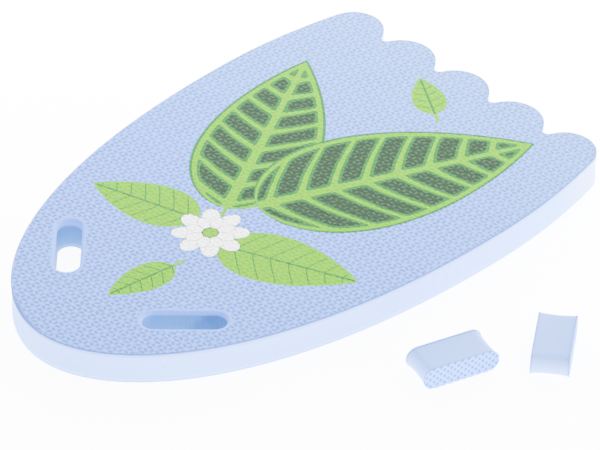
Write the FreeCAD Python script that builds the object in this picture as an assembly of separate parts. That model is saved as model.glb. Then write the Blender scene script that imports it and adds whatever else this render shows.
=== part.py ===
"""Kickboard float: a laminated foam board with two hand slots, and the two plugs cut out of them.

Frame, in millimetres: the underside of the board lies on z = 0, +Z is up, the nose points to -Y and
the scalloped tail to +Y. The origin is the middle of the underside. The board is a sheet of foam
between two embossed films. Each plug is the slug that was punched out of a hand slot, so it has the
same layers, and it lies on a long wall beside the board.
"""
import FreeCAD, Part

import math
import os

# --- the board's outline ---
board_length = 480.0        # nose to tail tips
board_width = 315.0         # at the widest place
widest_from_nose = 344.5    # where the two sides run parallel
nose_fullness = 0.45        # how far the nose keeps its crosswise run, as a part of half the width
side_fullness = 0.70        # how far the side keeps its lengthwise run, as a part of widest_from_nose
tail_lobes = 5              # rounded scallops along the tail
tail_inset = 13.3           # how far each outer lobe lies inside the widest place
corner_lobe_trim = 2.9      # how much smaller the outer lobes' radius is than the others'
corner_lobe_shift = 2.0     # how far the outer lobes sit inside an even pitch
notch_depth = 19.5          # lobe tip to the bottom of the notch beside it
notch_radius = 5.2          # inside corner of a notch

# --- the layers ---
core_thickness = 25.0       # foam sheet
film_thickness = 1.2        # each embossed film
film_edge_round = 0.5       # softened arris of a film's outer face

# --- the hand slots ---
slot_length = 65.5          # end to end
slot_width = 20.0
slot_from_nose = 88.5       # centre, along the board
slot_offset = 65.5          # centre, each side of the middle
slot_angle = 45.0           # runs outwards and backwards from the nose

# --- the plugs ---
plug_clearance = 0.5        # plug to slot wall, all round
plug_waist = 0.8            # how far the cut wall draws in at mid thickness
plug_swell = 1.3            # how much the freed foam grows at each face
right_plug_place = (225.0, -23.9, 71.9)   # x, y and the heading of its long axis, in degrees
left_plug_place = (266.4, 44.0, 126.6)

# --- worked out from the sizes above ---
half_width = board_width / 2
nose_y = -board_length / 2
widest_y = nose_y + widest_from_nose
board_thickness = core_thickness + 2 * film_thickness
slot_y = nose_y + slot_from_nose
plug_length = slot_length - 2 * plug_clearance
plug_width = slot_width - 2 * plug_clearance
plug_core_thickness = core_thickness + 2 * plug_swell


def point(x, y, z=0.0):
    return FreeCAD.Vector(x, y, z)


def on_circle(centre, radius, angle):
    return point(centre.x + radius * math.cos(angle), centre.y + radius * math.sin(angle))


def arc(centre, radius, start, end):
    """Arc about a centre in the XY plane, from one angle to another, in radians."""
    stops = [on_circle(centre, radius, angle) for angle in (start, (start + end) / 2, end)]
    return Part.Arc(*stops).toShape()


def tail_sizes():
    """Pitch and radius of the inner lobes, so that all span the tail and the notches have their depth.

    A lobe of radius r and a notch corner of radius f touch where their centres are r + f apart.
    With half a pitch h, the depth is d = (r + f) - sqrt((r + f)^2 - h^2), so r + f = (d^2 + h^2) / 2d.
    The outer lobe's reach, pitch * steps - shift + r - trim, has to be half_width - tail_inset.
    """
    steps = (tail_lobes - 1) / 2
    reach = half_width - tail_inset + corner_lobe_trim + corner_lobe_shift
    square_term = 1 / (8 * notch_depth)
    constant_term = notch_depth / 2 - notch_radius - reach
    pitch = (math.sqrt(steps ** 2 - 4 * square_term * constant_term) - steps) / (2 * square_term)
    lobe_radius = (notch_depth ** 2 + (pitch / 2) ** 2) / (2 * notch_depth) - notch_radius
    return pitch, lobe_radius


def tail_circles():
    """Centre and radius of each lobe, from the right side round to the left."""
    pitch, lobe_radius = tail_sizes()
    circles = []
    for index in range(tail_lobes):
        steps = (tail_lobes - 1) / 2 - index
        radius = lobe_radius
        x = steps * pitch
        if index in (0, tail_lobes - 1):
            radius -= corner_lobe_trim
            x -= math.copysign(corner_lobe_shift, steps)
        circles.append((point(x, board_length / 2 - radius), radius))
    return circles


def notch_centre(right, left):
    """Centre of the corner arc that touches two neighbouring lobes, on the tail side of them."""
    right_reach = right[1] + notch_radius
    left_reach = left[1] + notch_radius
    step_x = left[0].x - right[0].x
    step_y = left[0].y - right[0].y
    apart = math.hypot(step_x, step_y)
    along = (right_reach ** 2 - left_reach ** 2 + apart ** 2) / (2 * apart)
    away = math.sqrt(right_reach ** 2 - along ** 2)
    return point(
        right[0].x + (along * step_x + away * step_y) / apart,
        right[0].y + (along * step_y - away * step_x) / apart,
    )


def angle_towards(start, end):
    """Angle in which one point sees another."""
    return math.atan2(end.y - start.y, end.x - start.x)


def tail_edges(side_angle):
    """The scallops from the right side round to the left, and the notch corners between them."""
    circles = tail_circles()
    notches = [notch_centre(right, left) for right, left in zip(circles, circles[1:])]
    edges = []
    for index, (centre, radius) in enumerate(circles):
        first = index == 0
        last = index == tail_lobes - 1
        start = side_angle if first else angle_towards(centre, notches[index - 1])
        end = math.pi - side_angle if last else angle_towards(centre, notches[index])
        edges.append(arc(centre, radius, start, end))
        if not last:
            corner = notches[index]
            start = angle_towards(corner, centre)
            end = angle_towards(corner, circles[index + 1][0])
            edges.append(arc(corner, notch_radius, start, end))
    return edges


def nose_edge(side):
    """Half of the nose, from the tip round to the widest place, on the side +1 or -1."""
    poles = [
        point(0, nose_y),
        point(side * nose_fullness * half_width, nose_y),
        point(side * half_width, widest_y - side_fullness * widest_from_nose),
        point(side * half_width, widest_y),
    ]
    curve = Part.BezierCurve()
    curve.setPoles(poles if side > 0 else poles[::-1])
    return curve.toShape()


def board_face():
    """The board's flat outline at z = 0, without its slots."""
    corner_centre, corner_radius = tail_circles()[0]
    run = corner_centre.y - widest_y
    step_in = half_width - corner_centre.x
    side_radius = (run ** 2 + step_in ** 2 - corner_radius ** 2) / (2 * (step_in - corner_radius))
    side_angle = math.atan2(run, side_radius - step_in)
    right_centre = point(half_width - side_radius, widest_y)
    left_centre = point(side_radius - half_width, widest_y)
    edges = [nose_edge(+1), arc(right_centre, side_radius, 0, side_angle)]
    edges += tail_edges(side_angle)
    edges += [arc(left_centre, side_radius, math.pi - side_angle, math.pi), nose_edge(-1)]
    return Part.Face(Part.Wire(edges))


def stadium(length, width):
    """Slot-shaped face centred on the origin, long along X."""
    radius = width / 2
    reach = length / 2 - radius
    right = point(reach, 0)
    left = point(-reach, 0)
    quarter = math.pi / 2
    edges = [
        Part.makeLine(point(-reach, -radius), point(reach, -radius)),
        arc(right, radius, -quarter, quarter),
        Part.makeLine(point(reach, radius), point(-reach, radius)),
        arc(left, radius, quarter, 3 * quarter),
    ]
    return Part.Face(Part.Wire(edges))


def slot_cutters():
    """The two hand slots, as prisms through the whole board."""
    cutters = []
    for side in (+1, -1):
        face = stadium(slot_length, slot_width)
        face.rotate(point(0, 0), point(0, 0, 1), side * slot_angle)
        face.translate(point(side * slot_offset, slot_y))
        cutters.append(face.extrude(point(0, 0, board_thickness)))
    return cutters


def board_layer(bottom, thickness):
    """One full sheet of the board, with the slots cut through it."""
    sheet = board_face().extrude(point(0, 0, thickness))
    sheet.translate(point(0, 0, bottom))
    return sheet.cut(slot_cutters())


def soften(solid, axis, level):
    """Round the edges that lie at one level along an axis, which bound a film's outer face."""
    def lies_there(edge):
        box = edge.BoundBox
        low, high = (box.YMin, box.YMax) if axis == "y" else (box.ZMin, box.ZMax)
        return abs(low - level) < 0.01 and abs(high - level) < 0.01

    return solid.makeFillet(film_edge_round, [edge for edge in solid.Edges if lies_there(edge)])


def board_film(bottom, outer_level):
    return soften(board_layer(bottom, film_thickness), "z", outer_level)


def waisted_profile(left, right):
    """Upright section of a plug's core in the XZ plane, from x = left to x = right.

    Its cut walls draw in at mid thickness. A left of 0 is the section's own middle, which stays straight.
    """
    half = plug_core_thickness / 2
    corners = [point(left, 0, -half), point(right, 0, -half), point(right, 0, half), point(left, 0, half)]
    right_wall = Part.Arc(corners[1], point(right - plug_waist, 0, 0), corners[2]).toShape()
    if left:
        left_wall = Part.Arc(corners[3], point(left + plug_waist, 0, 0), corners[0]).toShape()
    else:
        left_wall = Part.makeLine(corners[3], corners[0])
    edges = [
        Part.makeLine(corners[0], corners[1]),
        right_wall,
        Part.makeLine(corners[2], corners[3]),
        left_wall,
    ]
    return Part.Face(Part.Wire(edges))


def plug_core():
    """Slug of foam, long along X, thick along Y, and on its long wall: its lowest edges are at z = 0."""
    radius = plug_width / 2
    reach = plug_length / 2 - radius
    middle = waisted_profile(-radius, radius)
    middle.rotate(point(0, 0), point(0, 0, 1), 90)
    middle.translate(point(-reach, 0))
    solid = middle.extrude(point(2 * reach, 0))
    for side in (+1, -1):
        end = waisted_profile(0, radius)
        end.rotate(point(0, 0), point(0, 0, 1), -90 if side > 0 else 90)
        end = end.revolve(point(0, 0), point(0, 0, 1), 180)
        end.translate(point(side * reach, 0))
        solid = solid.fuse(end)
    solid = solid.removeSplitter()
    solid.rotate(point(0, 0), point(1, 0), 90)
    solid.translate(point(0, 0, radius))
    return solid


def plug_film(side):
    """Film on one face of a plug that stands as plug_core does: side +1 or -1 along Y."""
    face = stadium(plug_length, plug_width)
    face.rotate(point(0, 0), point(1, 0), 90)
    inner = side * plug_core_thickness / 2
    outer = inner + side * film_thickness
    face.translate(point(0, inner, plug_width / 2))
    film = face.extrude(point(0, side * film_thickness))
    return soften(film, "y", outer)


def placed(solid, place):
    """A plug's piece, moved to where the plug lies."""
    x, y, heading = place
    solid.rotate(point(0, 0), point(0, 0, 1), heading)
    solid.translate(point(x, y))
    return solid


def build():
    core_top = film_thickness + core_thickness
    nodes = {
        "board_core": board_layer(film_thickness, core_thickness),
        "top_film": board_film(core_top, board_thickness),
        "bottom_film": board_film(0, 0),
    }
    for name, place in (("right_plug", right_plug_place), ("left_plug", left_plug_place)):
        nodes[name + "_core"] = placed(plug_core(), place)
        nodes[name + "_top_film"] = placed(plug_film(+1), place)
        nodes[name + "_bottom_film"] = placed(plug_film(-1), place)
    return nodes


def main():
    os.makedirs("parts", exist_ok=True)
    for name, shape in build().items():
        solids = shape.Solids
        if len(solids) != 1 or not solids[0].isValid():
            raise ValueError(name + " is not one valid solid")
        solids[0].exportStep("parts/" + name + ".step")
        box = solids[0].BoundBox
        print(f"{name:24s} {solids[0].Volume / 1000:9.2f} cm3  x {box.XMin:7.1f} {box.XMax:7.1f}"
              f"  y {box.YMin:7.1f} {box.YMax:7.1f}  z {box.ZMin:6.2f} {box.ZMax:6.2f}")
    pitch, lobe_radius = tail_sizes()
    print(f"tail lobes: pitch {pitch:.2f}, radius {lobe_radius:.2f}; board {board_thickness:.1f} thick")


main()
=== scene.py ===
# %% [markdown]
# # A kickboard float in Blender
#
# The real thing is a sheet of pale blue foam with a thin embossed film welded to each face. The top film
# is printed. Two hand slots are punched through the board, and the two slugs of foam that came out of them
# lie beside it. The CAD model already gives every piece its size and place, so this lesson never measures
# or moves anything: it loads those pieces as a frame and builds the visible surfaces around them.

# %% Load the frame
import math
from collections import namedtuple

import bmesh
import bpy
from mathutils import Matrix, Vector
from mathutils.bvhtree import BVHTree


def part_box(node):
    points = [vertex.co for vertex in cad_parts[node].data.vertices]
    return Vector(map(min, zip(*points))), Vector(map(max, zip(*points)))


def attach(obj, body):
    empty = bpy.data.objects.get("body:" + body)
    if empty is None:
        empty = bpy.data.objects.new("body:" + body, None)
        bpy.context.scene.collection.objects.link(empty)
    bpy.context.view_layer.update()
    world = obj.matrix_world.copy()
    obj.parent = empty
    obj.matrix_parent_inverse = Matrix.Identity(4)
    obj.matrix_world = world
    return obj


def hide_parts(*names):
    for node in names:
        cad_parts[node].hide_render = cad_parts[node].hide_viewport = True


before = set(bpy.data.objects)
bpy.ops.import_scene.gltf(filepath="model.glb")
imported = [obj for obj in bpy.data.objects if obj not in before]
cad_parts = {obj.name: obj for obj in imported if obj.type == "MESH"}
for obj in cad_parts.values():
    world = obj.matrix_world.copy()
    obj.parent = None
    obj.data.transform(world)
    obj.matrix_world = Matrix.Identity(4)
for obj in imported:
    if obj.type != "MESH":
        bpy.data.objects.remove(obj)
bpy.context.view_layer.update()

mm = 0.001

# %% [markdown]
# ## Camera
#
# A long lens from far away keeps the board's sides nearly parallel, which is how products are shown. The
# camera aims a little beside the middle of the board, so that the loose plugs come into the view as well.
# Its place is worked out from two angles and a distance, which is easier to adjust than three coordinates.

# %% Camera
board_low, board_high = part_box("board_core")
board_middle = (board_low + board_high) / 2
view_azimuth = math.radians(45.39)      # 0 looks along +Y
view_elevation = math.radians(37.15)
view_roll = math.radians(0.16)
view_distance = 3.515
view_target = Vector((board_middle.x + 0.016, board_middle.y + 0.020, 0.0))
back = Vector((
    math.sin(view_azimuth) * math.cos(view_elevation),
    -math.cos(view_azimuth) * math.cos(view_elevation),
    math.sin(view_elevation),
))

bpy.ops.object.select_all(action="DESELECT")
bpy.ops.object.camera_add(location=view_target + back * view_distance)
camera = bpy.context.object
aim = back.to_track_quat("Z", "Y") @ Matrix.Rotation(view_roll, 3, "Z").to_quaternion()
camera.rotation_euler = aim.to_euler()
camera.data.lens = 267.4                # millimetres, as is the sensor's width
camera.data.sensor_width = 36.0
bpy.context.scene.camera = camera
print("camera at", tuple(round(value, 3) for value in camera.location))

# %% [markdown]
# ## Small helpers for edit mode
#
# Operators act on whatever is selected, and in a script nothing can be clicked. So every step starts by
# making one object the only selected one, and then picks its vertices, edges or faces by a test on their
# place or normal. Keeping that in two helpers makes each later step read like the work done by hand.

# %% Helpers for edit mode
def only(obj):
    """Leave edit mode, and make obj the only selected object and the active one."""
    if bpy.context.object and bpy.context.object.mode != "OBJECT":
        bpy.ops.object.mode_set(mode="OBJECT")
    bpy.ops.object.select_all(action="DESELECT")
    obj.select_set(True)
    bpy.context.view_layer.objects.active = obj


def pick(obj, kind, test):
    """Enter edit mode with only the vertices, edges or faces selected that pass a test."""
    only(obj)
    bpy.ops.object.mode_set(mode="EDIT")
    bpy.ops.mesh.select_mode(type=kind)
    bpy.ops.mesh.select_all(action="DESELECT")
    mesh = bmesh.from_edit_mesh(obj.data)
    items = {"VERT": mesh.verts, "EDGE": mesh.edges, "FACE": mesh.faces}[kind]
    for item in items:
        if test(item):
            item.select_set(True)
    mesh.select_flush_mode()
    bmesh.update_edit_mesh(obj.data)


def done(obj, name=None):
    """Leave edit mode, and name the object and its mesh."""
    only(obj)
    if name:
        obj.name = name
        obj.data.name = name
    return obj


def apply_modifiers(obj):
    only(obj)
    for modifier in list(obj.modifiers):
        bpy.ops.object.modifier_apply(modifier=modifier.name)


def repeat(obj, count, step):
    """Copy obj in a row with an Array modifier, and weld the copies where they meet."""
    array = obj.modifiers.new("repeat", "ARRAY")
    array.count = count
    array.use_relative_offset = False
    array.use_constant_offset = True
    array.constant_offset_displace = step
    array.use_merge_vertices = True
    array.merge_threshold = 0.02 * mm
    apply_modifiers(obj)


def triangles(obj):
    return sum(len(face.vertices) - 2 for face in obj.data.polygons)


# %% [markdown]
# ## Walls to measure from
#
# The cut edges of the board are the one thing that every layer shares. A copy of the CAD core with its
# caps removed leaves a thin wall that follows the outline and both slots. Any point can ask that wall how
# far away it is and in which direction, and that is all that is needed to fade a relief near an edge, or
# to roll an edge over. The CAD mesh is loose triangles, so the copy is welded first.

# %% Walls of the board
class Wall:
    """The upright cut faces of a flat piece, which know the nearest cut to any point."""

    def __init__(self, obj):
        self.obj = obj
        heights = [vertex.co.z for vertex in obj.data.vertices]
        self.low = min(heights)
        self.high = max(heights)
        mesh = bmesh.new()
        mesh.from_mesh(obj.data)
        self.tree = BVHTree.FromBMesh(mesh)
        mesh.free()

    def nearest(self, place):
        """The nearest point of the cut, and how far it is, in plan."""
        level = (self.low + self.high) / 2
        point, normal, index, distance = self.tree.find_nearest(Vector((place.x, place.y, level)))
        return point, distance

    def inside(self, place, depth):
        """The point at a depth inside the cut, straight in from the part of the cut nearest to a place."""
        point, distance = self.nearest(place)
        inward = Vector((place.x - point.x, place.y - point.y, 0)).normalized()
        return point + inward * depth


def linked_copy(obj, name):
    """A copy of an object with a mesh of its own."""
    copy = bpy.data.objects.new(name, obj.data.copy())
    bpy.context.scene.collection.objects.link(copy)
    return copy


def bare_wall(node, name):
    """The upright cut of a flat CAD node, as a new open wall of even quads."""
    low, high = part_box(node)
    wall = linked_copy(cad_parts[node], name)
    pick(wall, "VERT", lambda vertex: True)
    bpy.ops.mesh.remove_doubles(threshold=0.001 * mm)
    pick(wall, "FACE", lambda face: abs(face.normal.z) > 0.5)
    bpy.ops.mesh.delete(type="FACE")
    pick(wall, "EDGE", lambda edge: max(vertex.co.z for vertex in edge.verts) > low.z + 0.01 * mm)
    bpy.ops.mesh.delete(type="EDGE")
    bpy.ops.mesh.select_all(action="SELECT")
    bpy.ops.mesh.extrude_region_move(TRANSFORM_OT_translate={"value": (0, 0, high.z - low.z)})
    bpy.ops.mesh.select_all(action="SELECT")
    bpy.ops.mesh.normals_make_consistent(inside=False)
    return done(wall)


board_wall = Wall(bare_wall("board_core", "board_wall"))
print("wall faces:", len(board_wall.obj.data.polygons))

# %% Where the slots are
slot_length = 65.5 * mm
slot_width = 20.0 * mm
slot_offset = 65.5 * mm         # centre, each side of the middle
slot_y = board_low.y + 88.5 * mm
slot_run = Vector((math.cos(math.radians(45)), math.sin(math.radians(45))))     # outwards and backwards


def beside_slot(place, margin=6 * mm):
    """Whether a point lies in or close round one of the two hand slots."""
    from_centre = Vector((abs(place.x) - slot_offset, place.y - slot_y))
    half_spine = (slot_length - slot_width) / 2
    along = min(max(from_centre.dot(slot_run), -half_spine), half_spine)
    return (from_centre - slot_run * along).length < slot_width / 2 + margin


# %% [markdown]
# ## Cutting a sheet to the outline
#
# An embossed film is pressed as an endless sheet and then cut. The same order works here: the relief is
# modelled once as a small tile, repeated into a sheet larger than the board, and cut with a prism. The
# prism is the wall, moved a little inwards, because the last part of the film is its rolled edge, and that
# is built afterwards as clean rings. The Manifold solver cuts a hundred thousand faces in a second.

# %% Cutting a sheet
def close_caps(obj):
    """Fill the open ends of a piece, one level at a time, and turn every face outwards."""
    pick(obj, "EDGE", lambda edge: edge.is_boundary)
    edges = bmesh.from_edit_mesh(obj.data).edges
    levels = {round(edge.verts[0].co.z, 5) for edge in edges if edge.select}
    for level in levels:
        pick(obj, "EDGE", lambda edge: edge.is_boundary and round(edge.verts[0].co.z, 5) == level)
        bpy.ops.mesh.fill()
    bpy.ops.mesh.select_all(action="SELECT")
    bpy.ops.mesh.normals_make_consistent(inside=False)
    return done(obj)


def wall_inside(wall, name, margin, slot_margin):
    """A copy of a wall, moved inwards by a margin, with a margin of its own at the slots.

    Each loop of the wall faces away from its own middle, so the outline shrinks and the slots grow.
    """
    inner = linked_copy(wall.obj, name)
    pick(inner, "VERT", lambda vertex: not beside_slot(vertex.co))
    bpy.ops.transform.shrink_fatten(value=-margin, use_even_offset=True)
    pick(inner, "VERT", lambda vertex: beside_slot(vertex.co))
    if any(vertex.select for vertex in bmesh.from_edit_mesh(inner.data).verts):
        bpy.ops.transform.shrink_fatten(value=slot_margin, use_even_offset=True)
    return done(inner)


def cutting_prism(wall, margin, slot_margin, low, high):
    """A closed prism from one height to another, a margin inside a wall."""
    prism = wall_inside(wall, "cutting_prism", margin, slot_margin)
    pick(prism, "VERT", lambda vertex: vertex.co.z > (wall.low + wall.high) / 2)
    bpy.ops.transform.translate(value=(0, 0, high - wall.high))
    bpy.ops.mesh.select_all(action="INVERT")
    bpy.ops.transform.translate(value=(0, 0, low - wall.low))
    return close_caps(done(prism))


def cut_sheet(sheet, prism):
    """Give an open sheet a body below it, keep what lies in the prism, and leave its top face only."""
    depth = 2 * mm
    pick(sheet, "EDGE", lambda edge: edge.is_boundary)
    bpy.ops.mesh.extrude_region_move(TRANSFORM_OT_translate={"value": (0, 0, -depth)})
    bpy.ops.mesh.edge_face_add()
    bpy.ops.mesh.select_all(action="SELECT")
    bpy.ops.mesh.normals_make_consistent(inside=False)
    done(sheet)
    cut = sheet.modifiers.new("cut", "BOOLEAN")
    cut.operation = "INTERSECT"
    cut.solver = "MANIFOLD"
    cut.object = prism
    apply_modifiers(sheet)
    bpy.data.objects.remove(prism)
    pick(sheet, "FACE", lambda face: face.normal.z < 0.3)
    bpy.ops.mesh.delete(type="FACE")
    return done(sheet)


# %% [markdown]
# ## Rolled edges
#
# A punch presses the film before it cuts it, so the relief fades out near every edge. Round the outline the
# film ends in a small soft arris. At the hand slots it is drawn down into the hole, and that broad smooth
# roll is what makes a slot look deep. Both are rings: the open edge is extruded, and each new loop is put
# at a depth inside the wall and at a height. A quarter of an ellipse gives those pairs of numbers.

# %% Fading the relief and adding rings
hair = 0.03 * mm                # how far a ring stays inside the cut, so that it still knows its way back
crumb = 0.1 * mm                # edges shorter than this are merged after a cut
edge_band = (1.0 * mm, 4.5 * mm)        # depths between which "near_edge" falls from 1 to 0


def smooth_step(value, start, end):
    share = min(max((value - start) / (end - start), 0), 1)
    return share * share * (3 - 2 * share)


def fade_relief(sheet, wall, level, reach, slot_reach):
    """Lift the relief back to its level near the cuts. Each reach is where it starts, and where it is whole.

    The attribute "near_edge" keeps how close a vertex is to a cut.
    """
    near_edge = sheet.data.attributes.new("near_edge", "FLOAT", "POINT")
    for vertex in sheet.data.vertices:
        depth = wall.nearest(vertex.co)[1]
        near_edge.data[vertex.index].value = 1 - smooth_step(depth, *edge_band)
        sink = level - vertex.co.z
        if sink > 0:
            start, whole = slot_reach if beside_slot(vertex.co) else reach
            vertex.co.z = level - sink * smooth_step(depth, start, whole)


def quarter_roll(band, top, fall, steps):
    """Depths and heights of rings that roll from a flat face at the top down to the cut."""
    turns = [math.radians(90) * step / steps for step in range(1, steps + 1)]
    return [(band * (1 - math.sin(turn)) + hair, top - fall * (1 - math.cos(turn))) for turn in turns]


def add_rings(obj, wall, stops):
    """Extrude the selected open edge once for each depth and height, and merge what meets in the last ring.

    The new vertices are marked with the attribute "rolled", so that a material can find them.
    """
    for depth, height in stops:
        bpy.ops.mesh.extrude_region_move()
        mesh = bmesh.from_edit_mesh(obj.data)
        layers = mesh.verts.layers.float
        rolled = layers.get("rolled") or layers.new("rolled")
        for vertex in mesh.verts:
            if vertex.select:
                place = wall.inside(vertex.co, depth)
                vertex.co = (place.x, place.y, height)
                vertex[rolled] = 1.0
        bmesh.update_edit_mesh(obj.data)
    bpy.ops.mesh.remove_doubles(threshold=crumb)


def open_edge(slots):
    """A test for the open edges round the slots, or for the other open edges."""
    return lambda edge: edge.is_boundary and beside_slot(edge.verts[0].co) == slots


def close_and_smooth(obj, angle=60):
    """Close a piece, and smooth all but its sharp edges."""
    close_caps(obj)
    bpy.ops.object.shade_smooth_by_angle(angle=math.radians(angle))
    return obj


# %% [markdown]
# ## Two lattices
#
# The top film is pressed with short dashes that lie along the edges of a triangular lattice, so six dashes
# point at every crossing. One hexagon of six triangles holds a whole crossing. The underside has a plainer
# square lattice of round dots. Each tile is subdivided into a fine grid, the vertices that lie in a dash or
# a dot are pressed down in two steps, and Array modifiers repeat the tile until it covers the piece.
# Modelling more than five thousand dashes one by one would give the same picture for far more work.

# %% Tiles of the relief
crossing_pitch = 8.13 * mm      # between crossings, along the board
crossing_row = 8.39 * mm        # between rows of crossings, across it
dash_length = 4.0 * mm
dash_width = 1.8 * mm
dash_depth = 0.55 * mm
dash_steps = ((0.9 * mm, 0.35), (0.5 * mm, 0.65))   # how near to a dash's spine, and the share of its depth
dot_pitch = 4.2 * mm
dot_width = 2.4 * mm
dot_depth = 0.7 * mm
dot_steps = ((1.2 * mm, 0.35), (0.8 * mm, 0.65))
board_grid = {"dash": 6, "dot": 3}      # steps along a side of one triangle or one square
plug_grid = {"dash": 12, "dot": 8}


def press(tile, depth, steps, distance):
    """Sink the vertices near a spine or a centre. distance gives how far a place is from the nearest one."""
    for reach, share in steps:
        pick(tile, "VERT", lambda vertex: distance(vertex.co) < reach)
        bpy.ops.transform.translate(value=(0, 0, -depth * share))
    return done(tile)


def dash_tile(level, steps):
    """A hexagon of the lattice, with a dash pressed into every edge of its six triangles."""
    bpy.ops.object.select_all(action="DESELECT")
    bpy.ops.mesh.primitive_circle_add(
        vertices=6, radius=crossing_pitch, fill_type="TRIFAN", location=(0, 0, level)
    )
    tile = done(bpy.context.object, "dash_tile")
    tile.scale.x = crossing_row / (crossing_pitch * math.cos(math.radians(30)))
    bpy.ops.object.transform_apply(location=True, rotation=True, scale=True)
    corners = [vertex.co.copy() for vertex in tile.data.vertices]
    edges = [[corners[index] for index in edge.vertices] for edge in tile.data.edges]
    half_spine = (dash_length - dash_width) / 2 + 0.01 * mm     # so that rounding loses no vertex

    def from_spine(place):
        distances = []
        for start, end in edges:
            middle = (start + end) / 2
            along = (place - middle).dot((end - start).normalized())
            along = min(max(along, -half_spine), half_spine)
            distances.append((place - middle - (end - start).normalized() * along).xy.length)
        return min(distances)

    pick(tile, "FACE", lambda face: True)
    bpy.ops.mesh.subdivide(number_cuts=steps - 1)
    press(tile, dash_depth, dash_steps, from_spine)
    repeat(tile, 2, (crossing_row, 1.5 * crossing_pitch, 0))
    return tile


def dot_tile(level, steps):
    """A square of the underside's lattice, with a quarter of a dot at each corner."""
    bpy.ops.object.select_all(action="DESELECT")
    bpy.ops.mesh.primitive_grid_add(
        x_subdivisions=steps, y_subdivisions=steps, size=dot_pitch, location=(0, 0, level)
    )
    tile = done(bpy.context.object, "dot_tile")
    bpy.ops.object.transform_apply(location=True, rotation=True, scale=True)

    def from_corner(place):
        return math.hypot(abs(place.x) - dot_pitch / 2, abs(place.y) - dot_pitch / 2)

    return press(tile, dot_depth, dot_steps, from_corner)


def covering(tile, wall, step_x, step_y, turn):
    """Repeat a tile until it covers everything inside a wall, with its lattice turned by an angle."""
    corners = [Matrix.Rotation(-turn, 3, "Z") @ vertex.co for vertex in wall.obj.data.vertices]
    columns = math.ceil(max(abs(corner.x) for corner in corners) / step_x) + 1
    rows = math.ceil(max(abs(corner.y) for corner in corners) / step_y) + 1
    repeat(tile, 2 * columns, (step_x, 0, 0))
    repeat(tile, 2 * rows, (0, step_y, 0))
    centred = Matrix.Translation((-columns * step_x, -rows * step_y, 0))
    tile.matrix_world = Matrix.Rotation(turn, 4, "Z") @ centred
    bpy.ops.object.transform_apply(location=True, rotation=True, scale=True)
    return tile


def dash_sheet(level, wall, steps, turn=0.0):
    return covering(dash_tile(level, steps), wall, 2 * crossing_row, 3 * crossing_pitch, turn)


def dot_sheet(level, wall, steps, turn=0.0):
    return covering(dot_tile(level, steps), wall, dot_pitch, dot_pitch, turn)


# %% [markdown]
# ## The board's two films
#
# Both films are made the same way, with the outer face up. The underside film is then mirrored, which turns
# its faces inside out, so its normals are worked out again at the end. Only the top film is drawn down into
# the slots: its outer face and its inner face roll over together, and between them lies the cut edge.

# %% Sizes of the films
top_low, top_high = (corner.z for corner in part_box("top_film"))
under_low, under_high = (corner.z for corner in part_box("bottom_film"))
film_thickness = top_high - top_low
edge_round = 0.8 * mm           # width of the softened arris round a cut
edge_fall = 0.6 * mm
edge_fade = 2.2 * mm            # depth at which the relief is whole
slot_fade = 1.4 * mm            # the same at a slot, counted from its margin
slot_roll = 2.6 * mm            # width of the film that is drawn down into a slot
slot_fall = 2.1 * mm
slot_lip = 0.6 * mm             # thickness of the film's cut edge in a slot
bed_fall = slot_fall + slot_lip - film_thickness
film_bed = quarter_roll(slot_roll, top_low, bed_fall, 4)[::-1] + [(slot_roll, top_low)]


# %% Board films
def board_film(sheet, name, low, slot_margin, slot_stops=None):
    """Cut a sheet to the board, and give it its rolled edges, its cut edges and its inner face."""
    high = low + film_thickness
    stops = [(0.94 * edge_round, high)] + quarter_roll(edge_round, high, edge_fall, 3) + [(hair, low)]
    cut_sheet(sheet, cutting_prism(board_wall, edge_round, slot_margin, low - mm, high + mm))
    fade_relief(sheet, board_wall, high, (edge_round, edge_fade), (slot_margin, slot_margin + slot_fade))
    pick(sheet, "VERT", lambda vertex: vertex.is_boundary)
    bpy.ops.mesh.remove_doubles(threshold=crumb)
    for slots, own_stops in ((False, stops), (True, slot_stops or stops)):
        pick(sheet, "EDGE", open_edge(slots))
        add_rings(sheet, board_wall, own_stops)
    return done(sheet, name)


drawn_edge = quarter_roll(slot_roll, top_high, slot_fall, 6) + film_bed
top_sheet = dash_sheet(top_high, board_wall, board_grid["dash"])
top_film = board_film(top_sheet, "embossed_top_film", top_low, slot_roll, drawn_edge)
close_and_smooth(top_film)
print("top film:", triangles(top_film), "triangles")


# %% The underside film
def turned_over(obj, height_sum):
    """Mirror a piece in height, so that its lowest and highest levels change places."""
    only(obj)
    obj.location.z = height_sum
    obj.scale.z = -1
    bpy.ops.object.transform_apply(location=True, rotation=True, scale=True)
    return obj


under_sheet = dot_sheet(under_high, board_wall, board_grid["dot"])
under_film = board_film(under_sheet, "dotted_underside_film", under_low, edge_round)
close_and_smooth(turned_over(under_film, under_low + under_high))
print("underside film:", triangles(under_film), "triangles")

# %% [markdown]
# ## The foam core
#
# The core is what shows on every cut edge. A blade leaves the cut slightly hollow, because the soft foam
# bulges under it and springs back. The core is built from the same wall: one open loop at the bottom, and
# rings above it that step inwards at mid height. At the slots the last rings are the bed of the rolled film.

# %% Foam core
core_low, core_high = (corner.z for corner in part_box("board_core"))
cut_hollow = 0.35 * mm
wall_rings = 8


def hollow_stops(low, high, hollow, rim=hair):
    """Depths and heights up a cut that is hollow at mid height, above its lowest ring."""
    stops = []
    for step in range(1, wall_rings + 1):
        share = 2 * step / wall_rings - 1
        stops.append((hollow * (1 - share ** 2) + rim, low + (high - low) * step / wall_rings))
    return stops


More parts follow.
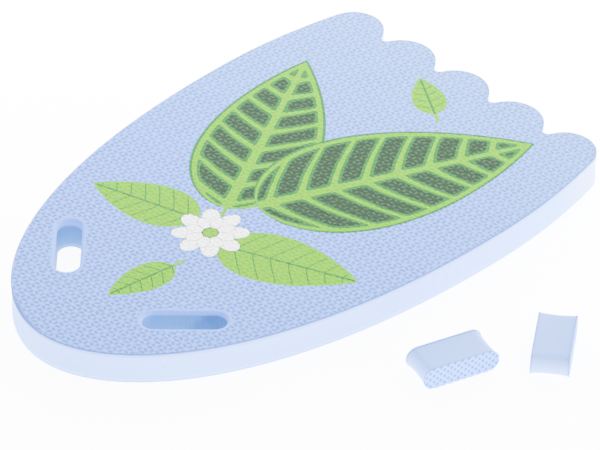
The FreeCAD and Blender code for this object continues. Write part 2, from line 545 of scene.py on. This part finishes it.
def cut_foam(wall, name, stops, slot_stops=(), rim=hair):
    """A foam piece that stands on the lowest loop of a wall, with a ring for each depth and height."""
    foam = wall_inside(wall, name, rim, rim)
    pick(foam, "EDGE", lambda edge: max(vertex.co.z for vertex in edge.verts) > wall.low + 0.01 * mm)
    bpy.ops.mesh.delete(type="EDGE")
    for slots, own_stops in ((False, stops), (True, slot_stops)):
        pick(foam, "EDGE", lambda edge: beside_slot(edge.verts[0].co) == slots)
        add_rings(foam, wall, own_stops)
    return close_and_smooth(done(foam, name))


slot_cut = hollow_stops(core_low, core_high - bed_fall, cut_hollow) + film_bed[1:]
foam_core = cut_foam(board_wall, "foam_core", hollow_stops(core_low, core_high, cut_hollow), slot_cut)
print("foam core:", triangles(foam_core), "triangles")

# %% [markdown]
# ## The plugs
#
# Each plug is a slug of the same three layers, long and rounded like its slot. It is modelled lying flat at
# the origin with its top film up, because there the wall, the rings and the relief all work as they did for
# the board. Then it is stood on its long side and moved to where it lies. Freed foam springs back further
# than the board's edge does, so its cut is far hollower.

# %% The plug's wall
plug_low, plug_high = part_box("right_plug_core")
plug_width = plug_high.z - plug_low.z
plug_length = slot_length - 2 * (slot_width - plug_width) / 2
plug_thickness = 27.6 * mm      # of the foam, which swells a little once it is free
plug_hollow = 0.75 * mm
plug_rim = 0.45 * mm            # how far a film's cut edge stands out over the foam
scallop = 0.7 * mm              # how far a dot draws that edge in
plug_heading = {"right_plug": 71.9, "left_plug": 126.6}     # degrees that the long axis is turned from +X
round_steps = 96


def stadium_wall():
    """The upright cut of a plug that lies flat round the origin, long along X."""
    half_step = math.pi / round_steps
    bpy.ops.object.select_all(action="DESELECT")
    bpy.ops.mesh.primitive_circle_add(
        vertices=round_steps, radius=plug_width / 2,
        location=(0, 0, -plug_thickness / 2), rotation=(0, 0, half_step),
    )
    wall = done(bpy.context.object, "plug_wall")
    bpy.ops.object.transform_apply(location=True, rotation=True, scale=True)
    for side in (1, -1):
        pick(wall, "VERT", lambda vertex: vertex.co.x * side > 0)
        bpy.ops.transform.translate(value=(side * (plug_length - plug_width) / 2, 0, 0))
    bpy.ops.mesh.select_all(action="SELECT")
    bpy.ops.mesh.extrude_region_move(TRANSFORM_OT_translate={"value": (0, 0, plug_thickness)})
    bpy.ops.mesh.select_all(action="SELECT")
    bpy.ops.mesh.normals_make_consistent(inside=False)
    return done(wall)


plug_wall = Wall(stadium_wall())
print("plug:", [round(size / mm, 1) for size in (plug_length, plug_width, plug_thickness)], "mm")

# %% Plug pieces
plug_face = plug_thickness / 2
lattice_turn = math.radians(-45)        # a plug is long along its slot, so the board's lattices lie across it
dash_fade = (-1.5 * mm, 2.5 * mm)       # the dashes fade a little towards the cut
dot_fade = (-2 * mm, -mm)               # the dots don't, so the cut runs through them


def scallop_edge(film):
    """Draw a film's cut edge in wherever a dot lies on it."""
    for vertex in film.data.vertices:
        if plug_wall.nearest(vertex.co)[1] < 2 * hair:
            place = Matrix.Rotation(-lattice_turn, 3, "Z") @ vertex.co
            off = math.hypot(place.x % dot_pitch - dot_pitch / 2, place.y % dot_pitch - dot_pitch / 2)
            pull = max(1 - 2 * off / dot_width, 0)
            edge = plug_wall.inside(vertex.co, hair + scallop * pull)
            vertex.co = (edge.x, edge.y, vertex.co.z)


def plug_film(sheet, name, fade):
    """A plug's film, cut straight through its relief, so that the relief scallops its edge."""
    cut_sheet(sheet, cutting_prism(plug_wall, hair, hair, plug_face - mm, plug_face + film_thickness + mm))
    fade_relief(sheet, plug_wall, plug_face + film_thickness, fade, fade)
    pick(sheet, "VERT", lambda vertex: vertex.is_boundary)
    bpy.ops.mesh.remove_doubles(threshold=crumb)
    pick(sheet, "EDGE", lambda edge: edge.is_boundary)
    add_rings(sheet, plug_wall, [(hair, plug_face)])
    return done(sheet, name)


def beside_board(plug):
    """The matrix that stands a flat plug on its long side, and moves it to its place."""
    low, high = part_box(plug + "_core")
    stand = Matrix.Rotation(math.radians(-90), 4, "X")
    turn = Matrix.Rotation(math.radians(plug_heading[plug]), 4, "Z")
    return Matrix.Translation((low + high) / 2) @ turn @ stand


plug_pieces = {}
for plug in plug_heading:
    stops = hollow_stops(-plug_face, plug_face, plug_hollow, plug_rim)
    core = cut_foam(plug_wall, plug + "_foam", stops, rim=plug_rim)
    level = plug_face + film_thickness
    dashes = dash_sheet(level, plug_wall, plug_grid["dash"], lattice_turn)
    top = plug_film(dashes, plug + "_embossed_film", dash_fade)
    dots = dot_sheet(level, plug_wall, plug_grid["dot"], lattice_turn)
    under = plug_film(dots, plug + "_dotted_film", dot_fade)
    scallop_edge(under)
    turned_over(under, 0)
    close_and_smooth(top)
    close_and_smooth(under)
    plug_pieces[plug] = {"core": core, "top_film": top, "bottom_film": under}
    for piece in plug_pieces[plug].values():
        only(piece)
        piece.matrix_world = beside_board(plug)
        bpy.ops.object.transform_apply(location=True, rotation=True, scale=True)
    print(plug, {part: triangles(piece) for part, piece in plug_pieces[plug].items()})

# %% [markdown]
# ## Shader maths as Python
#
# Every finish below is a sum of simple masks: how far a point is from a dash, whether it lies in a vein,
# how high it is on a rolled edge. Written as node boxes that would be hundreds of lines, so one small class
# wraps a socket, and Python's own operators add the Math nodes. Colours never go through a Math node, which
# would turn them grey: they are mixed.

# %% A socket that can be calculated with
class Signal:
    """An output socket in a material. Arithmetic on it adds Math nodes to the same material."""

    def __init__(self, tree, socket=None):
        self.tree = tree
        self.socket = socket

    def node(self, kind, settings=None, sockets=None, output=0):
        """Add a node: its type, its settings, and the values or signals of its sockets."""
        new = self.tree.nodes.new("ShaderNode" + kind)
        for name, value in (settings or {}).items():
            setattr(new, name, value)
        for key, value in (sockets or {}).items():
            if isinstance(value, Signal):
                self.tree.links.new(value.socket, new.inputs[key])
            else:
                new.inputs[key].default_value = value
        return Signal(self.tree, new.outputs[output])

    def math(self, operation, *values, clamp=False):
        sockets = dict(enumerate(values))
        return self.node("Math", {"operation": operation, "use_clamp": clamp}, sockets)

    def __add__(self, other):
        return self.math("ADD", self, other)

    def __radd__(self, other):
        return self.math("ADD", other, self)

    def __sub__(self, other):
        return self.math("SUBTRACT", self, other)

    def __rsub__(self, other):
        return self.math("SUBTRACT", other, self)

    def __mul__(self, other):
        return self.math("MULTIPLY", self, other)

    def __truediv__(self, other):
        return self.math("DIVIDE", self, other)

    def __abs__(self):
        return self.math("ABSOLUTE", self)

    def fold(self, width):
        """Mirror the signal back and forth between 0 and a width."""
        return self.math("PINGPONG", self, width)

    def least(self, other):
        return self.math("MINIMUM", self, other)

    def most(self, other):
        return self.math("MAXIMUM", self, other)

    def noise(self, scale, detail):
        """Noise at a point. The scale is in cells per metre."""
        return self.node("TexNoise", sockets={0: self, "Scale": scale, "Detail": detail})

    def within(self, width, softness):
        """1 where the signal is below a width, 0 where it is above, and a soft step between."""
        return self.math("MULTIPLY_ADD", self, -1 / softness, width / softness + 0.5, clamp=True)

    def mix(self, first, second):
        """The first colour where the signal is 0, the second where it is 1."""
        return self.node("Mix", {"data_type": "RGBA"}, {0: self, 6: first, 7: second}, output=2)

    def feed(self, shader, name):
        self.tree.links.new(self.socket, shader.inputs[name])


def colour(red, green, blue):
    return (red, green, blue, 1.0)


def new_finish(name, roughness, specular):
    """A material with a Principled shader. Returns it, a signal to start from, and the shader's node."""
    material = bpy.data.materials.new(name)
    material.use_nodes = True
    tree = material.node_tree
    shader = tree.nodes["Principled BSDF"]
    shader.inputs["Roughness"].default_value = roughness
    shader.inputs["Specular IOR Level"].default_value = specular
    return material, Signal(tree), shader


def add_bump(start, shader, strength, relief):
    bump = start.node("Bump", sockets={"Strength": strength, "Distance": mm, "Height": relief})
    bump.feed(shader, "Normal")


print("signals ready")

# %% [markdown]
# ## The embossed films
#
# Bare film is pale blue, and its look is nearly all relief. Pressed places are glossier, and their deeper
# colour is painted shade in the dimples. The lattice has mirror lines through every crossing, so folding x
# and y with
# Ping-Pong leaves one small cell with three dashes in it, and one distance serves them all. It drives the
# colour, and a bump that is finer than the mesh.

# %% Distances in the relief
def flat_place(start, place=None):
    """The point, x, y and height on a flat piece, from its Object coordinates.

    A piece that was stood up and moved gives its place, and it is undone here.
    """
    point = start.node("TexCoord", output=3)
    if place:
        settings = {"vector_type": "TEXTURE"}
        sockets = {0: point, 1: place.translation, 2: place.to_euler()}
        point = start.node("Mapping", settings, sockets)
    split = start.node("SeparateXYZ", sockets={0: point}).socket.node
    return [point] + [Signal(start.tree, split.outputs[axis]) for axis in range(3)]


def length_of(x, y):
    return x.math("SQRT", x * x + y * y)


def from_dash(x, y):
    """Distance to the nearest dash's spine, in the folded lattice."""
    half_spine = (dash_length - dash_width) / 2
    fold_x = x.fold(crossing_row)
    fold_y = y.fold(crossing_pitch / 2)
    off_x = fold_x - crossing_row / 2
    off_y = fold_y - crossing_pitch / 4
    run = Vector((crossing_row, crossing_pitch / 2)).normalized()

    def spine(along, across):
        return length_of((abs(along) - half_spine).most(0.0), across)

    slanted = spine(off_x * run.x + off_y * run.y, off_x * run.y - off_y * run.x)
    first = spine(fold_y - crossing_pitch / 2, fold_x)
    second = spine(fold_y, fold_x - crossing_row)
    return slanted.least(first.least(second))


def from_dot(x, y):
    """Distance to the nearest dot's centre, in the underside's lattice."""
    fold_x = (x - dot_pitch / 2).fold(dot_pitch / 2)
    fold_y = (y - dot_pitch / 2).fold(dot_pitch / 2)
    return length_of(fold_x, fold_y)


def from_slot(x, y):
    """How far outside the cut of the nearest hand slot a point lies. It is negative inside the slot."""
    off_x = abs(x) - slot_offset
    off_y = y - slot_y
    along = off_x * slot_run.x + off_y * slot_run.y
    across = off_x * slot_run.y - off_y * slot_run.x
    return length_of((abs(along) - (slot_length - slot_width) / 2).most(0.0), across) - slot_width / 2


print("distances ready")

# %% [markdown]
# ## The print
#
# The board carries a flat screen print under its relief. This one is a loose scatter of broad leaves and one
# open flower, drawn as distances too. A leaf is widest near its base, its side veins are lines that bend
# towards the tip, and its dark panels are what lies far enough from every vein and from the edge. A smooth
# maximum rounds their corners. Because every edge is a formula, the print stays sharp at any distance.

# %% Inks
# Each ink is given as it looks on the flat, and where a dash is pressed into it. The pressed colour is partly
# thinner ink and partly painted light: painted shade on the film and the pale inks, a painted highlight on
# the
# dark ones. Two are the bare film: "tail" is painted light, its paler look near the tail, and "film" is its
# look everywhere else.
inks_and_painted_light = {
    "film": (colour(0.097, 0.225, 0.82), colour(0.080, 0.134, 0.27)),
    "tail": (colour(0.126, 0.266, 0.75), colour(0.086, 0.147, 0.26)),
    "leaf": (colour(0.094, 0.327, 0.0), colour(0.085, 0.290, 0.0)),
    "rim": (colour(0.018, 0.115, 0.026), colour(0.040, 0.150, 0.045)),
    "shade": (colour(0.019, 0.037, 0.021), colour(0.042, 0.081, 0.051)),
    "petal": (colour(0.95, 0.96, 0.98), colour(0.66, 0.70, 0.82)),
    "line": (colour(0.018, 0.014, 0.026), colour(0.04, 0.04, 0.06)),
}
# The plain film's pressed colour is painted shade in the dots and dashes.
plain_film = (colour(0.105, 0.275, 0.95), colour(0.060, 0.125, 0.36))
ridge_highlight_blue = colour(0.123, 0.269, 0.92)     # painted highlight of bare film, on the raised land furthest from the dashes
arris_shade_blue = colour(0.060, 0.118, 0.44)    # painted shade on the arris round the outline, where the film turns away from the light
cut_edge_shade_blue = colour(0.120, 0.225, 0.60)       # painted shade on a film's cut edge, deepest next to the foam
lit_lip_blue = colour(0.110, 0.288, 0.86)       # painted light where the film goes down into a slot, and on the top of a slot's wall
# painted shade: the deeper blue of a slot's walls, where little light reaches
in_slot_shade = colour(0.032, 0.165, 0.42)
slot_shade = colour(0.015, 0.110, 0.33)     # the end of a slot that the light does not reach
crisp = 0.25 * mm               # width of an ink's soft edge

# The heading is that of the tip, in degrees. The spacing is between side veins.
Leaf = namedtuple("Leaf", "centre_x centre_y length half_width heading spacing")
dark_leaves = (
    Leaf(-64 * mm, 62 * mm, 212 * mm, 50 * mm, 118, 25 * mm),
    Leaf(48 * mm, 96 * mm, 236 * mm, 62 * mm, 66, 27 * mm),
)
bright_leaves = (
    Leaf(70 * mm, -46 * mm, 118 * mm, 30 * mm, 22, 15 * mm),
    Leaf(-66 * mm, -70 * mm, 96 * mm, 25 * mm, 196, 13 * mm),
    Leaf(6 * mm, -142 * mm, 62 * mm, 16 * mm, 262, 10 * mm),
    Leaf(-10 * mm, 190 * mm, 52 * mm, 14 * mm, 148, 9 * mm),
)
leaf_blunt = {"base": 0.55, "tip": 0.95}    # powers that round the two ends. 1 is a point with straight sides
leaf_fill = 0.95                # brings the widest place back to the half width
vein_lean = 0.5                 # of the side veins towards the tip
vein_bend = 4.0                 # how much more they lean further out, per metre
vein_shorten = 0.88             # from a distance along the midrib to one square to a side vein
rim_width = 2.4 * mm
panel_inset = 6.5 * mm          # from a leaf's outline to its dark panels
panel_border = 2.6 * mm
panel_round = 5 * mm
stem_reach = 11 * mm            # each way from a leaf's base
stem_half_width = 1.6 * mm

flower_centre = Vector((0, -62 * mm))
flower_radius = 31 * mm


# %% Leaves
def smooth_most(first, second, rounding):
    return first.math("SMOOTH_MAX", first, second, rounding)


def leaf_place(x, y, leaf):
    """Distance along a leaf from its middle, distance from its midrib, and how far outside its outline."""
    heading = math.radians(leaf.heading)
    tip = Vector((math.cos(heading), math.sin(heading)))
    off_x = x - leaf.centre_x
    off_y = y - leaf.centre_y
    along = off_x * tip.x + off_y * tip.y
    aside = abs(off_x * tip.y - off_y * tip.x)
    share = along / (leaf.length / 2)
    base_part = x.math("POWER", (1 + share).most(0.0), leaf_blunt["base"])
    tip_part = x.math("POWER", (1 - share).most(0.0), leaf_blunt["tip"])
    return along, aside, aside - base_part * tip_part * (leaf_fill * leaf.half_width)


def off_side_vein(along, aside, spacing):
    """Distance to the nearest side vein. The veins lean towards the tip, and more so further out."""
    return (along - aside * vein_lean - aside * aside * vein_bend).fold(spacing / 2) * vein_shorten


def with_stem(paint, ink, along, aside, leaf):
    stem = (abs(along + leaf.length / 2) - stem_reach).most(aside - stem_half_width)
    return stem.within(0.0, crisp).mix(paint, ink["leaf"])


def with_bright_leaf(paint, ink, x, y, leaf):
    """A plain leaf in one ink, with thin veins."""
    along, aside, outline = leaf_place(x, y, leaf)
    paint = with_stem(paint, ink, along, aside, leaf)
    paint = outline.within(0.0, crisp).mix(paint, ink["leaf"])
    veins = off_side_vein(along, aside, leaf.spacing).within(0.5 * mm, crisp)
    veins = veins.most(aside.within(0.9 * mm, crisp)) * outline.within(-2.2 * mm, crisp)
    return veins.mix(paint, ink["rim"])


def with_dark_leaf(paint, ink, x, y, leaf, wander):
    """A large leaf with a rim, broad bright veins, and dark panels with a border between them."""
    along, aside, outline = leaf_place(x, y, leaf)
    paint = with_stem(paint, ink, along, aside, leaf)
    paint = outline.within(0.0, crisp).mix(paint, ink["rim"])
    paint = outline.within(-rim_width, crisp).mix(paint, ink["leaf"])
    rib = 3.0 * mm - along * 0.012
    vein = 2.5 * mm - aside * 0.02
    panel = smooth_most(rib - aside, vein - off_side_vein(along, aside, leaf.spacing) + wander, panel_round)
    panel = smooth_most(panel, outline + panel_inset, panel_round)
    paint = panel.within(0.0, crisp).mix(paint, ink["rim"])
    return panel.within(-panel_border, crisp).mix(paint, ink["shade"])


# %% The flower
def with_flower(paint, ink, x, y):
    """A row of outer petals, a row of inner ones, and the heart."""
    half_petal = math.pi / 8
    off_x = x - flower_centre.x
    off_y = y - flower_centre.y
    reach = length_of(off_x, off_y)
    angle = x.math("ARCTAN2", off_y, off_x)
    for share, turn in ((1.0, 0.0), (0.66, half_petal)):
        across = (angle + turn).fold(half_petal)
        tip = flower_radius * share
        outline = reach - tip + across * across * (tip * 2.6)
        gap = reach * (half_petal - across)
        lines = abs(outline).within(0.35 * mm, crisp).most(gap.within(0.28 * mm, crisp))
        paint = outline.within(0.0, crisp).mix(paint, ink["petal"])
        paint = (lines * outline.within(0.4 * mm, crisp)).mix(paint, ink["line"])
    paint = reach.within(0.22 * flower_radius, crisp).mix(paint, ink["line"])
    return reach.within(0.19 * flower_radius, crisp).mix(paint, ink["leaf"])


def printed(point, x, y, pressed, ridge_highlight):
    """The whole print, with the painted light on the film: the paler tail, the highlights on the land, and
    the pressed colours, which are painted light and shade in the dimples. Each ink is mixed with its pressed
    colour once, before it is laid anywhere.
    """
    ink = {name: pressed.mix(flat, dimple_shading) for name, (flat, dimple_shading) in inks_and_painted_light.items()}
    wander = (point.noise(40.0, 1.0) - 0.5) * (2.5 * mm)
    # painted light: the bare film grows paler towards the tail, where more light falls
    paint = y.within(90 * mm, 260 * mm).mix(ink["tail"], ink["film"])
    # painted highlight on the land between the dashes
    paint = ridge_highlight.mix(paint, ridge_highlight_blue)
    for leaf in bright_leaves:
        paint = with_bright_leaf(paint, ink, x, y, leaf)
    for leaf in dark_leaves:
        paint = with_dark_leaf(paint, ink, x, y, leaf, wander)
    return with_flower(paint, ink, x, y)


print("leaves:", len(dark_leaves) + len(bright_leaves))

# %% The film's finish
press_blur = 0.5 * mm           # width of the soft edge of a pressed place
ridge_highlight_start = 1.65 * mm         # from a dash's spine or a dot's centre to the painted highlight on the raised land
lip_reach = 0.7 * mm            # how far outside a slot's cut the painted light of the lip goes
plain_reach = 2.0 * mm          # how far outside a slot's cut nothing is pressed


def film_finish(name, distance, half_width, place=None, board_top=False):
    """An embossed film. Its distance is from_dash or from_dot.

    The board's top also has the print, painted light on the lips of the slots, and painted shade on its edge
    at the nose.
    """
    roughness = 0.5
    material, start, shader = new_finish(name, roughness, specular=0.01)
    point, x, y = flat_place(start, place)[:3]
    cells = point.noise(1 / (0.35 * mm), 3.0)
    blotches = point.noise(1 / (2.2 * mm), 2.0)
    clouds = point.noise(1 / (30 * mm), 2.0)
    distance_now = distance(x, y) + (blotches - 0.5) * (2.0 * mm) + (cells - 0.5) * (0.9 * mm)
    strength = 0.70 + (clouds - 0.5) * 0.6
    pressed = distance_now.within(half_width, press_blur) * strength
    # painted highlight on the land furthest from the dashes and dots
    ridge_highlight = (1 - distance_now.within(ridge_highlight_start, 0.6 * mm)) * 0.8
    rolled = start.node("Attribute", {"attribute_name": "rolled"}, output=2)
    if board_top:
        gap = from_slot(x, y)
        pressed = pressed * (1 - gap.within(plain_reach, 1.0 * mm))
        # and a thin painted highlight round each slot, where the film starts to roll down
        ridge_highlight = ridge_highlight.most(abs(gap - 2.6 * mm).within(0.7 * mm, 0.8 * mm))
        # painted light on the film as it goes down into a slot
        paint = gap.within(lip_reach, 1.8 * mm).mix(printed(point, x, y, pressed, ridge_highlight), lit_lip_blue)
        # painted shade on the film's edge at the nose, where its slope turns from the light
        nose_edge_shade = start.node("Attribute", {"attribute_name": "near_edge"}, output=2)
        nose_edge_shade = nose_edge_shade * y.within(board_low.y + 30 * mm, 20 * mm) * abs(x + 26 * mm).within(20 * mm, 22 * mm)
        rolled = rolled * (1 - gap.within(8 * mm, 0.1 * mm))
    else:
        # painted shade in the dimples, and a painted highlight on the land between them
        paint = ridge_highlight.mix(pressed.mix(*plain_film), ridge_highlight_blue)
        rolled = rolled * 0.7
    # painted shade on the arris round the outline, and on a plug film's cut edge
    paint = rolled.mix(paint, arris_shade_blue if board_top else cut_edge_shade_blue)
    if board_top:
        paint = nose_edge_shade.mix(paint, arris_shade_blue)
    paint.feed(shader, "Base Color")
    (roughness - pressed * 0.12 + (cells - 0.5) * 0.1).feed(shader, "Roughness")
    add_bump(start, shader, 0.8, cells * 0.06 + blotches * 0.25 - pressed * 0.35)
    return material


print_finish = film_finish("printed_film", from_dash, dash_width / 2, board_top=True)
print("printed film nodes:", len(print_finish.node_tree.nodes))

# %% [markdown]
# ## The foam's cut
#
# Cut foam is a field of tiny closed cells, sliced open. From arm's length it is a soft even skin with a fine
# grain, a few larger pores, and faint lines along the blade's travel.

# %% Foam finish
foam_blues = (colour(0.205, 0.352, 0.92), colour(0.19, 0.395, 0.90))    # it wanders between these two
grain_blue = colour(0.16, 0.33, 0.87)
streak_blue = colour(0.16, 0.31, 0.84)
pore_blue = colour(0.06, 0.12, 0.40)
# painted light: the foam round the tail, paler where more light falls
lit_tail_foam = colour(0.32, 0.46, 0.88)
# painted highlight along the top of the board's cut
top_edge_highlight = colour(0.25, 0.44, 0.95)
# painted shade on the side a plug turns up
upturned_shade = colour(0.142, 0.293, 0.80)
lit_tail_start = 195 * mm           # y from which the foam is painted paler, as lit
light_end = -98 * mm            # x + y where the walls of a slot fall out of the light, at the bottom
lip_start = 24.2 * mm           # height above which a slot's wall takes the painted light of the lip
lip_end = slot_y - 21 * mm      # y below which it has that painted light all the way down, at the slot's lit end
slot_shading_reach = 1.8 * mm           # how far outside its cut a slot's painted light and shade go


def foam_finish(name, board):
    """Cut foam, with painted light and shade: paler round the tail and along the board's top edge, lighter at
    the slots' lips, deeper in the hand slots and on the side a plug turns up.
    """
    material, start, shader = new_finish(name, roughness=0.7, specular=0.2)
    point, x, y, height = flat_place(start)
    drawn_out = start.node("Mapping", sockets={0: point, 3: (1.0, 1.0, 0.08)})
    streaks = drawn_out.noise(1 / (2.6 * mm), 2.0)
    grain = point.noise(1 / (0.5 * mm), 3.0)
    clouds = point.noise(35.0, 2.0)
    pores = start.node("TexVoronoi", {"feature": "F1"}, {0: point, "Scale": 1 / (11 * mm), "Randomness": 1.0})
    pore = pores.within(0.075, 0.03)
    body = ((clouds - 0.5) * 2.5 + 0.5).mix(*foam_blues)
    body = ((grain - 0.5) * 0.6 + 0.3).mix(body, grain_blue)
    body = (pore * 0.6).mix(body, pore_blue)
    body = (streaks * 0.9 - 0.3).mix(body, streak_blue)
    if board:
        # painted light: paler round the tail
        body = y.within(lit_tail_start, 60 * mm).mix(lit_tail_foam, body)
        # painted highlight along the top of the cut
        body = height.within(core_high - 1.2 * mm, 1.2 * mm).mix(top_edge_highlight, body)
        # painted shade in the hand slots, deepest where the light does not reach, with painted light on their
        # lips and lit end
        lit = (x + y - height * 1.4).within(light_end, 14 * mm)
        slot_wall = (lit + (streaks - 0.5) * 1.2).mix(slot_shade, in_slot_shade)
        lip = height + x.within(0.0, mm) * (3.0 * mm)       # the lip's painted light goes lower down the wall in the slot on the -X side
        slot_wall = lip.within(lip_start, 2.6 * mm).mix(lit_lip_blue, slot_wall)
        slot_wall = y.within(lip_end, 3 * mm).mix(slot_wall, lit_lip_blue)
        body = from_slot(x, y).within(slot_shading_reach, 0.3 * mm).mix(body, slot_wall)
    else:
        # painted shade on the side a plug turns up
        body = height.within(plug_width - 2 * mm, 1.5 * mm).mix(upturned_shade, body)
    body.feed(shader, "Base Color")
    add_bump(start, shader, 0.5, grain * 0.12 - pore * 0.3)
    return material


foam_look = foam_finish("cut_foam", board=True)
plug_foam_look = foam_finish("plug_foam", board=False)
underside_look = film_finish("plain_film", from_dot, dot_width / 2)
print("finishes:", [material.name for material in bpy.data.materials])


# %% Dress the pieces
def dress(piece, finish, body, node):
    """Give a piece its finish, attach it to the body it rides on, and hide the CAD node it replaces."""
    piece.data.materials.clear()
    piece.data.materials.append(finish)
    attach(piece, body)
    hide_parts(node)


dress(top_film, print_finish, "board", "top_film")
dress(under_film, underside_look, "board", "bottom_film")
dress(foam_core, foam_look, "board", "board_core")
bpy.data.objects.remove(board_wall.obj)
bpy.data.objects.remove(plug_wall.obj)

for plug, pieces in plug_pieces.items():
    place = beside_board(plug) @ Matrix.Rotation(lattice_turn, 4, "Z")
    top_look = film_finish(plug + "_dashed", from_dash, dash_width / 2, place)
    under_look = film_finish(plug + "_dotted", from_dot, dot_width / 2, place)
    dress(pieces["core"], plug_foam_look, plug, plug + "_core")
    dress(pieces["top_film"], top_look, plug, plug + "_top_film")
    dress(pieces["bottom_film"], under_look, plug, plug + "_bottom_film")
print("dressed")

# %% [markdown]
# ## Floor and light
#
# Pale goods on a pale ground need a lit ground, as on a light table, or the ground turns grey beside them.
# The floor glows, which also lifts the upright cuts, and the world gives soft light from all round. Three
# soft boxes, one beyond the tail and one on each side, let the top grow lighter towards the back and show
# the relief.

# %% Floor and light
floor_glow = 9.6
world_glow = 3.3


def glowing_floor():
    bpy.ops.object.select_all(action="DESELECT")
    bpy.ops.mesh.primitive_plane_add(size=8, location=(0, 0, 0))
    floor = done(bpy.context.object, "floor")
    material, start, shader = new_finish("pale_floor", roughness=0.9, specular=0.0)
    shader.inputs["Base Color"].default_value = colour(0.9, 0.9, 0.9)
    shader.inputs["Emission Color"].default_value = colour(1, 1, 1)
    shader.inputs["Emission Strength"].default_value = floor_glow
    floor.data.materials.append(material)


glowing_floor()
world = bpy.data.worlds.new("soft_world")
world.use_nodes = True
background = world.node_tree.nodes["Background"]
background.inputs["Color"].default_value = colour(1, 1, 1)
background.inputs["Strength"].default_value = world_glow
bpy.context.scene.world = world


def soft_box(location, size, size_y, power):
    """A rectangular light, turned towards the board."""
    bpy.ops.object.select_all(action="DESELECT")
    bpy.ops.object.light_add(type="AREA", location=location)
    light = bpy.context.object
    light.data.shape = "RECTANGLE"
    light.data.size = size
    light.data.size_y = size_y
    light.data.energy = power
    light.rotation_euler = light.location.to_track_quat("Z", "Y").to_euler()


soft_box((-0.15, 0.85, 0.6), 0.9, 0.6, 33.0)
soft_box((1.3, 0.8, 0.3), 1.2, 0.5, 60.0)
soft_box((-0.75, 0.25, 0.35), 0.5, 0.5, 20.0)

# %% [markdown]
#


print("lights placed")
